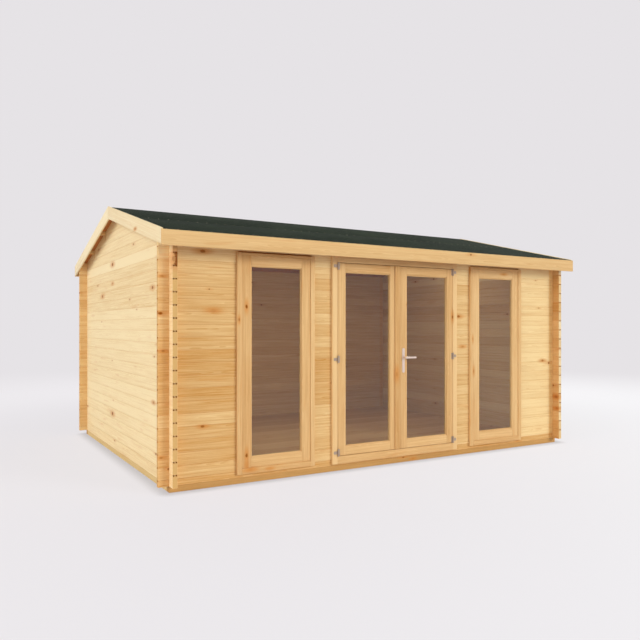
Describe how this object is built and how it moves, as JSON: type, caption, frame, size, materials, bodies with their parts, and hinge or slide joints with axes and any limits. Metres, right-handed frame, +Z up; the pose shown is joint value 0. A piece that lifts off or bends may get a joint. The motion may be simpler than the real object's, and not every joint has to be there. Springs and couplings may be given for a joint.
{
  "type": "log cabin",
  "caption": "Rectangular log cabin with interlocking corners, a low saddle roof, a glazed double door with a lever handle and two fixed tall windows.",
  "frame": {"origin": "centre of the cabin's bounding box in plan, on the ground under its base beams", "axes": "+X along the long walls and the ridge, +Y from the front wall with the doors to the rear wall, +Z up"},
  "size_m": [5.146, 3.965, 2.7533],
  "materials": {
    "log_pine": "planed softwood, unfinished",
    "frame_pine": "planed softwood frame, unfinished",
    "trim_pine": "planed softwood trim, unfinished",
    "roof_boards": "planed softwood boards",
    "floor_pine": "planed softwood floor",
    "treated_base": "pressure treated softwood",
    "roof_felt": "dark green mineral roofing felt",
    "window_glass": "clear glazing",
    "hinge_steel": "zinc plated",
    "handle_steel": "satin"
  },
  "bodies": {
    "root": {"front_wall_odd_logs": "log_pine", "front_wall_even_logs": "log_pine", "rear_wall_odd_logs": "log_pine", "rear_wall_even_logs": "log_pine", "left_wall_odd_logs": "log_pine", "left_wall_even_logs": "log_pine", "right_wall_odd_logs": "log_pine", "right_wall_even_logs": "log_pine", "left_gable": "log_pine", "right_gable": "log_pine", "ridge_purlin": "log_pine", "lower_purlins": "log_pine", "base_long_beams": "treated_base", "base_cross_beams": "treated_base", "floor_boards": "floor_pine", "front_roof_deck": "roof_boards", "rear_roof_deck": "roof_boards", "front_roof_felt": "roof_felt", "rear_roof_felt": "roof_felt", "front_barge_boards": "trim_pine", "rear_barge_boards": "trim_pine", "fascia_boards": "trim_pine", "window_posts": "frame_pine", "window_heads_and_sills": "frame_pine", "left_window_stiles": "frame_pine", "left_window_rails": "frame_pine", "left_window_glass": "window_glass", "right_window_stiles": "frame_pine", "right_window_rails": "frame_pine", "right_window_glass": "window_glass", "door_frame_posts": "frame_pine", "door_frame_head": "frame_pine", "door_threshold": "frame_pine", "door_frame_hinges": "hinge_steel"},
    "left_door": {"left_door_stiles": "frame_pine", "left_door_rails": "frame_pine", "left_door_glass": "window_glass", "left_door_hinges": "hinge_steel", "door_cover_strip": "frame_pine"},
    "right_door": {"right_door_stiles": "frame_pine", "right_door_rails": "frame_pine", "right_door_glass": "window_glass", "right_door_hinges": "hinge_steel", "handle_plates": "handle_steel"},
    "lever": {"lever_handle": "handle_steel"}
  },
  "joints": [
    {"name": "left_door_hinge", "type": "hinge", "parent": "root", "child": "left_door", "pos_m": [-0.7525, -1.8405, 1.112], "axis": [0, 0, -1], "range_deg": [0, 110]},
    {"name": "right_door_hinge", "type": "hinge", "parent": "root", "child": "right_door", "pos_m": [0.7525, -1.8405, 1.112], "axis": [0, 0, 1], "range_deg": [0, 110]},
    {"name": "lever_turn", "type": "hinge", "parent": "right_door", "child": "lever", "pos_m": [0.063, -1.8325, 1.111], "axis": [0, 1, 0], "range_deg": [0, 40], "stiffness_Nm_per_rad": 1, "springref_deg": -20.05}
  ]
}
